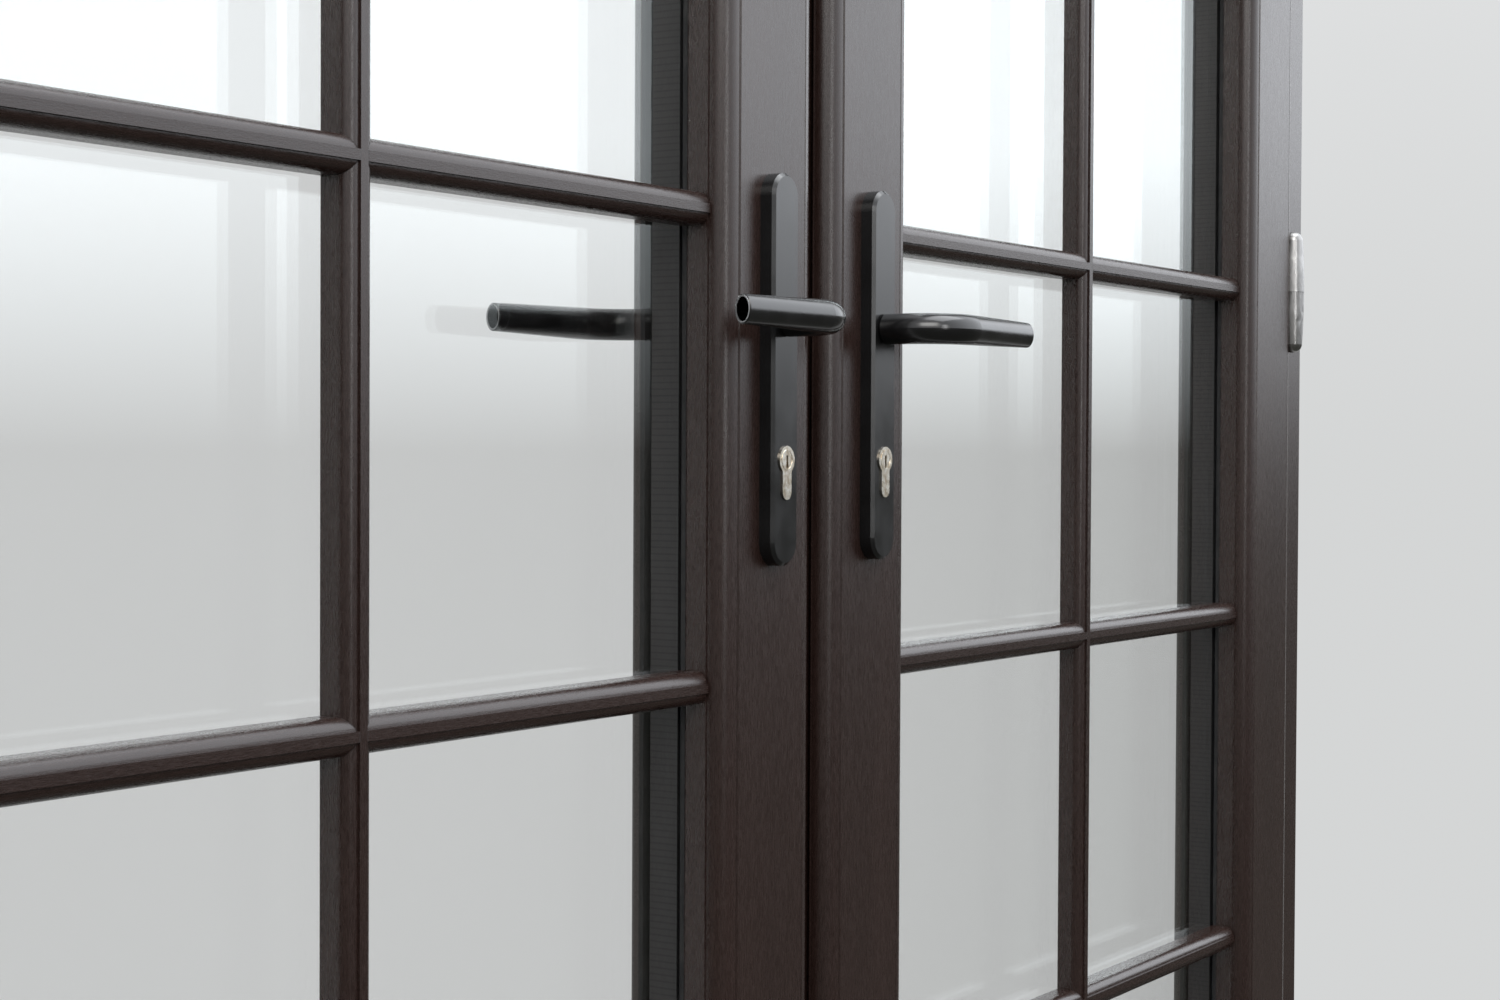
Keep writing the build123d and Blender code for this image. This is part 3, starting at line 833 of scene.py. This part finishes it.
@dataclass(frozen=True)
class ScrewHeads:
    """Countersunk screw heads with a star recess, all alike and all facing one way along X."""

    radius: float = 0.0034
    depth: float = 0.0007
    rim: float = 0.0016
    recess: float = 0.0004
    points: int = 6
    waist: float = 0.72
    rounding: float = 0.00008
    sharp_angle: float = 50.0

    def build(self, name: str, facing: int, seats: Sequence[Place]) -> bpy.types.Object:
        """Model one head and copy it to every seat.

        Args:
            name: Name of the joined piece.
            facing: 1 where the heads look along +X, -1 along -X.
            seats: Centre of each head's outer face.

        Returns:
            The joined heads, still without a material.
        """
        x, y, z = seats[0]
        centre = Vector((x - facing * self.depth / 2, y, z))
        bench = Bench().disc(
            name, centre, self.radius, self.depth, 2 * self.points, (0.0, math.pi / 2, 0.0))
        bench.facing((float(facing), 0.0, 0.0)).inset(self.rim)
        bench.push((-facing * self.recess, 0.0, 0.0)).leave()
        self.star(bench.piece, centre)
        bench.soften(self.rounding, angle=self.sharp_angle)
        moves = [tuple(Vector(seat) - Vector(seats[0])) for seat in seats]
        return copies(bench.piece, moves, name)

    def star(self, head: bpy.types.Object, centre: Vector) -> None:
        """Draw every second corner of the recess inwards.

        Args:
            head: The head with its recess sunk.
            centre: The head's middle.
        """
        between = self.radius - self.rim / 2
        notched = []
        for vertex in head.data.vertices:
            out = vertex.co - centre
            corner = round(math.atan2(out.z, out.y) / math.tau * 2 * self.points)
            in_recess = math.hypot(out.y, out.z) < between
            if in_recess and corner % 2 == 0:
                notched.append(vertex.index)
        bpy.context.view_layer.objects.active = head
        bpy.ops.object.mode_set(mode="EDIT")
        bpy.ops.mesh.select_mode(type="VERT")
        bpy.ops.mesh.select_all(action="DESELECT")
        bpy.ops.object.mode_set(mode="OBJECT")
        for index in notched:
            head.data.vertices[index].select = True
        bpy.ops.object.mode_set(mode="EDIT")
        bpy.ops.transform.resize(value=(1.0, self.waist, self.waist), center_override=centre)
        bpy.ops.object.mode_set(mode="OBJECT")


# Sub-assemblies

@dataclass
class Sizes:
    """Places that more than one sub-assembly shares, in metres."""

    set_half: float = 0.836
    sight: float = 0.064
    leaf_width: float = 0.8275
    leaf_height: float = 1.912
    leaf_half_depth: float = 0.035
    spindle_x: float = 0.061
    spindle_z: float = 0.955
    cylinder_z: float = 0.870
    plate_front: float = 0.046
    hinge_x: float = 0.838
    hinge_y: float = -0.033
    hinge_heights: Sequence[float] = (0.254, 1.023, 1.786)
    bar_x: float = 0.42225

    def leaf_edges(self, side: Side) -> Corners:
        """Find the leaf's outline.

        Args:
            side: The leaf's side.

        Returns:
            Its rectangle.
        """
        outer = side.value * self.set_half
        inner = side.value * (self.set_half - self.leaf_width)
        low, high = sorted((outer, inner))
        return Corners(low, high, self.sight, self.sight + self.leaf_height)

    def frame_edges(self) -> Corners:
        """The frame's outline."""
        outer = self.set_half + self.sight
        return Corners(-outer, outer, 0.0, self.leaf_height + 2 * self.sight)


class Shop:
    """Every finish that is shared, made once."""

    def __init__(self) -> None:
        """Make the shared materials."""
        self.black = BlackCoat().material()
        self.tip = PowderCoat("lever_tip_black", (0.006, 0.006, 0.0065), 0.42).material()
        # Lighter bare metal for the lever tips' rims: a painted highlight round their edge.
        self.worn = BareMetal(
            "worn_rim", (0.20, 0.20, 0.205), (0.34, 0.34, 0.345), 0.26).material()
        self.nickel = BareMetal(
            "warm_nickel", (0.60, 0.51, 0.39), (0.93, 0.89, 0.80), 0.17, stretch=(1.0, 1.0, 5.0),
            line_scale=700.0, cloud_scale=240.0, relief=0.07).material()
        self.steel = BareMetal(
            "galvanised_steel", (0.46, 0.47, 0.48), (0.60, 0.61, 0.62), 0.30,
            stretch=(3.0, 3.0, 0.3)).material()
        self.hinge = BareMetal(
            "hinge_coat", (0.270, 0.265, 0.260), (0.325, 0.320, 0.315), 0.22, stretch=(1.0, 1.0, 0.1),
            line_scale=500.0, cloud_scale=60.0, relief=0.05).material()
        self.screw = BareMetal(
            "blackened_screw", (0.045, 0.045, 0.048), (0.075, 0.075, 0.078), 0.32).material()
        self.washer = PowderCoat("washer_nylon", (0.010, 0.010, 0.011), 0.5).material()
        self.rubber = Rubber().material()
        self.spacer = SpacerBar().material()
        self.glass = ClearGlass().material()


@dataclass
class DoorFrame:
    """Jambs, head, threshold, seals and keeps."""

    sizes: Sizes
    shop: Shop

    def build(self) -> None:
        """Dress the frame's nodes."""
        corners = self.sizes.frame_edges()
        upright = WoodFoil("frame_foil_upright", Grain.UPRIGHT, corners).material()
        level = WoodFoil("frame_foil_level", Grain.LEVEL, corners).material()
        dress(upright, "jamb_left", "jamb_right")
        dress(level, "head", "threshold")
        dress(self.shop.rubber, "flange_seal", "stop_seal")
        dress(self.shop.steel, "bolt_keeps")


@dataclass
class Leaf:
    """One leaf: stiles, rails, bars, beads and glazing."""

    side: Side
    sizes: Sizes
    shop: Shop

    def build(self) -> None:
        """Dress the leaf's nodes."""
        name = self.side.label
        corners = self.sizes.leaf_edges(self.side)
        crossing = BarCrossing(self.side.value * self.sizes.bar_x)
        upright = WoodFoil(f"{name}_foil_upright", Grain.UPRIGHT, corners).material()
        level = WoodFoil(f"{name}_foil_level", Grain.LEVEL, corners).material()
        bar = WoodFoil(f"{name}_bar_upright", Grain.UPRIGHT).material()
        cross = WoodFoil(f"{name}_bar_level", Grain.LEVEL, crossing).material()
        dress(upright, f"{name}_hinge_stile", f"{name}_meeting_stile", f"{name}_meeting_strip")
        dress(level, f"{name}_bottom_rail", f"{name}_top_rail", f"{name}_beads")
        dress(bar, f"{name}_upright_bar")
        dress(cross, f"{name}_cross_bars")
        dress(self.shop.glass, f"{name}_outer_pane", f"{name}_inner_pane")
        dress(self.shop.spacer, f"{name}_spacer")
        dress(self.shop.rubber, f"{name}_gaskets")


@dataclass
class Hinges:
    """Barrels, plates, pins and what sits on them."""

    sizes: Sizes
    shop: Shop
    washer_radius: float = 0.0099
    washer_depth: float = 0.0003
    washer_bore: float = 0.0037
    washer_points: int = 48
    rounding: float = 0.00006
    flap_face: float = 0.8264
    bracket_face: float = 0.8276
    screw_proud: float = 0.0003
    screw_depths: Sequence[float] = (-0.009, 0.013)
    screw_rises: Sequence[float] = (0.011, 0.034)

    def build(self) -> None:
        """Dress the hinges' nodes, and add washers and screws."""
        dress(self.shop.hinge, "hinge_brackets", "left_hinge_flaps", "right_hinge_flaps")
        dress(self.shop.steel, "hinge_pins")
        for side in Side:
            self.washers(side)
            for holder in Holder:
                self.screws(side, holder)

    def screws(self, side: Side, holder: Holder) -> None:
        """Screw heads on the hinge plates of a leaf or of the frame.

        Args:
            side: The side of the doors.
            holder: What the plates are screwed to.
        """
        if holder is Holder.LEAF:
            body = f"{side.label}_leaf"
            face = self.flap_face + self.screw_proud
            facing = side.value
            up = 1.0
        else:
            body = "frame"
            face = self.bracket_face - self.screw_proud
            facing = -side.value
            up = -1.0
        seats = [
            (side.value * face, depth, height + up * rise)
            for height in self.sizes.hinge_heights
            for depth in self.screw_depths
            for rise in self.screw_rises]
        name = f"{side.label}_{holder.value}_hinge_screws"
        bench = Bench(ScrewHeads().build(name, facing, seats))
        bench.done(self.shop.screw, body, "black_screw")

    def washers(self, side: Side) -> None:
        """Rings between the two halves of each barrel.

        Args:
            side: The side of the doors.
        """
        name = f"{side.label}_hinge_washers"
        lowest = self.sizes.hinge_heights[0]
        centre = (side.value * self.sizes.hinge_x, self.sizes.hinge_y, lowest)
        bench = Bench().disc(
            name, centre, self.washer_radius, self.washer_depth, self.washer_points)
        bench.bore((0.0, 0.0, 1.0), self.washer_radius - self.washer_bore)
        bench.soften(self.rounding, steps=1)
        moves = [(0.0, 0.0, height - lowest) for height in self.sizes.hinge_heights]
        bench.piece = copies(bench.piece, moves, name)
        bench.done(self.shop.washer, "frame", "hinge_coating")


@dataclass
class HandleSet:
    """One leaf's plates, levers, spindle, cylinder and keys."""

    side: Side
    sizes: Sizes
    shop: Shop
    reach: float = 0.118
    projection: float = 0.054
    tip_half_depth: float = 0.0048
    tip_half_height: float = 0.0078
    tip_dish: float = 0.0003
    tip_wall: float = 0.0008
    tip_dull: float = 0.80
    tip_points: int = 40
    tip_rounding: float = 0.00012
    plug_radius: float = 0.0063
    plug_rim: float = 0.0007
    plug_proud: float = 0.0002
    plug_points: int = 48
    plug_rounding: float = 0.00005

    def build(self) -> None:
        """Dress the nodes of the handle and add its small pieces."""
        name = self.side.label
        dress(self.shop.black, f"{name}_outer_backplate", f"{name}_inner_backplate",
              f"{name}_outer_lever", f"{name}_inner_lever")
        dress(self.shop.steel, f"{name}_spindle")
        dress(self.shop.screw, f"{name}_handle_screws")
        dress(self.shop.nickel, f"{name}_cylinder", f"{name}_key_plugs")
        for face in Face:
            self.tip(face)
            self.plug_ring(face)

    def tip(self, face: Face) -> None:
        """The dished end of a lever's grip, dull in the middle, with a lighter metal ring at the rim
        painted in as its highlight.

        Args:
            face: The face of the doors that the lever is on.
        """
        name = f"{self.side.label}_{face.label}_lever_tip"
        outward = (float(self.side.value), 0.0, 0.0)
        x = self.side.value * (self.sizes.spindle_x + self.reach)
        y = face.value * (self.sizes.leaf_half_depth + self.projection)
        centre = Vector((x, y, self.sizes.spindle_z))
        turn = (0.0, math.pi / 2, 0.0)
        bench = Bench().disc(name, centre, 1.0, 1.0, self.tip_points, turn)
        shape = Matrix.Diagonal((2 * self.tip_dish, self.tip_half_depth, self.tip_half_height, 1.0))
        bench.piece.data.transform(
            Matrix.Translation(centre) @ shape @ Matrix.Translation(-centre))
        bench.facing(outward).inset(self.tip_wall)
        bench.push(tuple(-self.tip_dish * part for part in outward))
        bench.leave().soften(self.tip_rounding)
        bench.done(self.shop.tip, f"{self.side.label}_handle", "black_handle")
        # The outer ring of faces takes the lighter metal, a painted highlight on the tip's rim.
        bench.piece.data.materials.append(self.shop.worn)
        for polygon in bench.piece.data.polygons:
            away = polygon.center - centre
            reach = math.hypot(away.y / self.tip_half_depth, away.z / self.tip_half_height)
            polygon.material_index = int(reach > self.tip_dull)

    def plug_ring(self, face: Face) -> None:
        """The turned rim round a cylinder's key plug.

        Args:
            face: The face of the doors that the plug is on.
        """
        name = f"{self.side.label}_{face.label}_plug_rim"
        x = self.side.value * self.sizes.spindle_x
        y = face.value * (self.sizes.plate_front + self.plug_proud / 2)
        centre = (x, y, self.sizes.cylinder_z)
        turn = (math.pi / 2, 0.0, 0.0)
        bench = Bench().disc(
            name, centre, self.plug_radius, self.plug_proud, self.plug_points, turn)
        bench.bore((0.0, 1.0, 0.0), self.plug_rim).soften(self.plug_rounding, steps=1)
        bench.done(self.shop.nickel, f"{self.side.label}_key", "nickel")


@dataclass
class MeetingSeal:
    """Hollow rubber bulb on the right leaf's strip, which closes the gap between the leaves."""

    shop: Shop
    centre: Place = (0.0003, -0.0161, 1.020)
    radius: float = 0.0017
    length: float = 1.886
    wall: float = 0.0005
    hollow: float = 0.005
    strip_face: float = 0.00205
    points: int = 24

    def build(self) -> None:
        """Model the bulb, with a flat foot on the strip and open ends."""
        bench = Bench().disc(
            "meeting_seal", self.centre, self.radius, self.length, self.points)
        foot = (self.strip_face, self.centre[1], self.centre[2])
        bench.facing((1.0, 0.0, 0.0))
        bpy.ops.transform.resize(value=(0.0, 1.0, 1.0), center_override=foot)
        bench.leave()
        for end in (1.0, -1.0):
            bench.facing((0.0, 0.0, end)).inset(self.wall)
            bench.inset(0.0, -self.hollow).leave()
        bench.done(self.shop.rubber, "right_leaf", "black_gasket")


@dataclass
class Locks:
    """Faceplates with their screws, lock cases, bolts and rods."""

    shop: Shop
    plate_face: float = 0.0020
    plate_middle: float = 0.0085
    screw_proud: float = 0.0002
    screw_heights: Sequence[float] = (
        0.110, 0.330, 0.530, 0.620, 0.790, 0.935, 1.050, 1.250, 1.450, 1.605, 1.690, 1.930)

    def build(self) -> None:
        """Dress the locks' nodes and add the faceplates' screws."""
        for side in Side:
            dress(self.shop.steel, f"{side.label}_faceplate", f"{side.label}_lock_case")
            self.screws(side)
        dress(self.shop.steel, "left_top_bolt", "left_bottom_bolt", "right_latch",
              "right_deadbolt", "right_side_bolts")

    def screws(self, side: Side) -> None:
        """Screw heads along a faceplate.

        Args:
            side: The leaf's side.
        """
        x = side.value * (self.plate_face - self.screw_proud)
        seats = [(x, self.plate_middle, height) for height in self.screw_heights]
        bench = Bench(ScrewHeads().build(f"{side.label}_faceplate_screws", -side.value, seats))
        bench.done(self.shop.steel, f"{side.label}_leaf", "bright_steel")


# Studio

@dataclass(frozen=True)
class Lamp:
    """A soft rectangular light."""

    name: str
    place: Place
    aim: Place
    size: tuple[float, float]
    power: float
    colour: Colour = (1.0, 1.0, 1.0)

    def build(self) -> None:
        """Hang the light."""
        light = bpy.data.lights.new(self.name, "AREA")
        light.shape = "RECTANGLE"
        light.size, light.size_y = self.size
        light.energy = self.power
        light.color = self.colour
        lamp = bpy.data.objects.new(self.name, light)
        lamp.location = self.place
        lamp.rotation_euler = (Vector(self.aim) - Vector(self.place)).to_track_quat("-Z", "Y").to_euler()
        bpy.context.scene.collection.objects.link(lamp)


@dataclass
class Studio:
    """Pale floor, pale surroundings and soft lights."""

    floor_front: float = 5.0
    floor_back: float = 45.0
    floor_tone: Colour = (0.36, 0.36, 0.35)
    high_tone: Colour = (2.75, 2.85, 3.00)
    near_tone: Colour = (1.15, 1.17, 1.20)
    low_tone: Colour = (0.10, 0.10, 0.09)
    back_tone: Colour = (0.66, 0.67, 0.67)
    back_high_tone: Colour = (0.86, 0.87, 0.88)
    strength: float = 1.0
    near_levels: Levels = (0.30, 0.72)
    front_levels: Levels = (0.50, 0.56)
    back_levels: Levels = (0.50, 0.75)
    turn_levels: Levels = (0.44, 0.53)
    lamps: Sequence[Lamp] = (
        Lamp("key_light", (-3.4, -2.6, 3.4), (0.0, 0.0, 1.0), (2.6, 2.2), 110.0, (1.0, 0.98, 0.95)),
        Lamp("top_light", (0.6, -1.4, 5.2), (0.2, 0.0, 0.9), (4.0, 2.4), 120.0, (0.96, 0.98, 1.0)),
        Lamp("strip_light", (-1.25, -3.0, 1.6), (0.84, 0.0, 1.02), (0.4, 1.8), 14.0),
        Lamp("back_light", (0.5, 3.5, 3.4), (0.0, 0.0, 1.0), (3.0, 2.0), 50.0))

    def build(self) -> None:
        """Lay the floor and set the light."""
        bpy.context.scene.view_settings.view_transform = "Standard"
        self.floor()
        self.surroundings()
        for lamp in self.lamps:
            lamp.build()

    def floor(self) -> None:
        """A plain floor under the threshold."""
        Bench.clear()
        depth = self.floor_back + self.floor_front
        middle = (self.floor_back - self.floor_front) / 2
        bpy.ops.mesh.primitive_plane_add(
            size=1.0, location=(0.0, middle, 0.0), scale=(2 * self.floor_back, depth, 1.0))
        floor = bpy.context.active_object
        floor.name = "studio_floor"
        recipe, made = Recipe.material("studio_floor")
        recipe.set_surface(Base_Color=self.floor_tone, Roughness=0.8, Specular_IOR_Level=0.1)
        floor.data.materials.append(made)

    def surroundings(self) -> None:
        """Light the front from above over a dark low band, and show a pale tone behind."""
        world = bpy.data.worlds.new("studio")
        bpy.context.scene.world = world
        world.use_nodes = True
        sky = Recipe(world.node_tree, "Background", "Generated")
        across, depth, height = sky.axes()
        bright = sky.blend(sky.ramp(across.share(), self.near_levels), self.near_tone, self.high_tone)
        front = sky.blend(sky.ramp(height.share(), self.front_levels), self.low_tone, bright)
        above = sky.ramp(height.share(), self.back_levels)
        back = sky.blend(above, self.back_tone, self.back_high_tone)
        lit = sky.blend(sky.ramp(depth.share(), self.turn_levels), front, back)
        seen = sky.node("ShaderNodeLightPath", outputs=["Is Camera Ray"])
        sky.set_surface(Color=sky.blend(seen, lit, back), Strength=self.strength)


@dataclass(frozen=True)
class Viewpoint:
    """The photograph's camera: place in metres, angles in degrees, focal length in pixels."""

    place: Place = (-1.35853, -0.84852, 0.87453)
    yaw: float = 57.411
    pitch: float = -1.096
    roll: float = -0.261
    focal: float = 2497.8
    nearest: float = 0.05
    farthest: float = 200.0

    def build(self) -> None:
        """Set up the camera."""
        yaw, pitch, roll = (math.radians(part) for part in (self.yaw, self.pitch, self.roll))
        forward = Vector((
            math.sin(yaw) * math.cos(pitch), math.cos(yaw) * math.cos(pitch), math.sin(pitch)))
        level = Vector((math.cos(yaw), -math.sin(yaw), 0.0))
        down = forward.cross(level)
        right = level * math.cos(roll) + down * math.sin(roll)
        up = level * math.sin(roll) - down * math.cos(roll)
        data = bpy.data.cameras.new("camera")
        data.sensor_width = SENSOR_WIDTH
        data.lens = self.focal / IMAGE_WIDTH * SENSOR_WIDTH
        data.clip_start = self.nearest
        data.clip_end = self.farthest
        camera = bpy.data.objects.new("camera", data)
        turn = Matrix((right, up, -forward)).transposed()
        camera.matrix_world = Matrix.Translation(self.place) @ turn.to_4x4()
        bpy.context.scene.collection.objects.link(camera)
        bpy.context.scene.camera = camera


def main() -> None:
    """Build the camera, the studio and each sub-assembly in order."""
    Viewpoint().build()
    Studio().build()
    sizes = Sizes()
    shop = Shop()
    DoorFrame(sizes, shop).build()
    for side in Side:
        Leaf(side, sizes, shop).build()
        HandleSet(side, sizes, shop).build()
    Hinges(sizes, shop).build()
    MeetingSeal(shop).build()
    Locks(shop).build()
    bpy.context.view_layer.update()


if __name__ == "__main__":
    main()
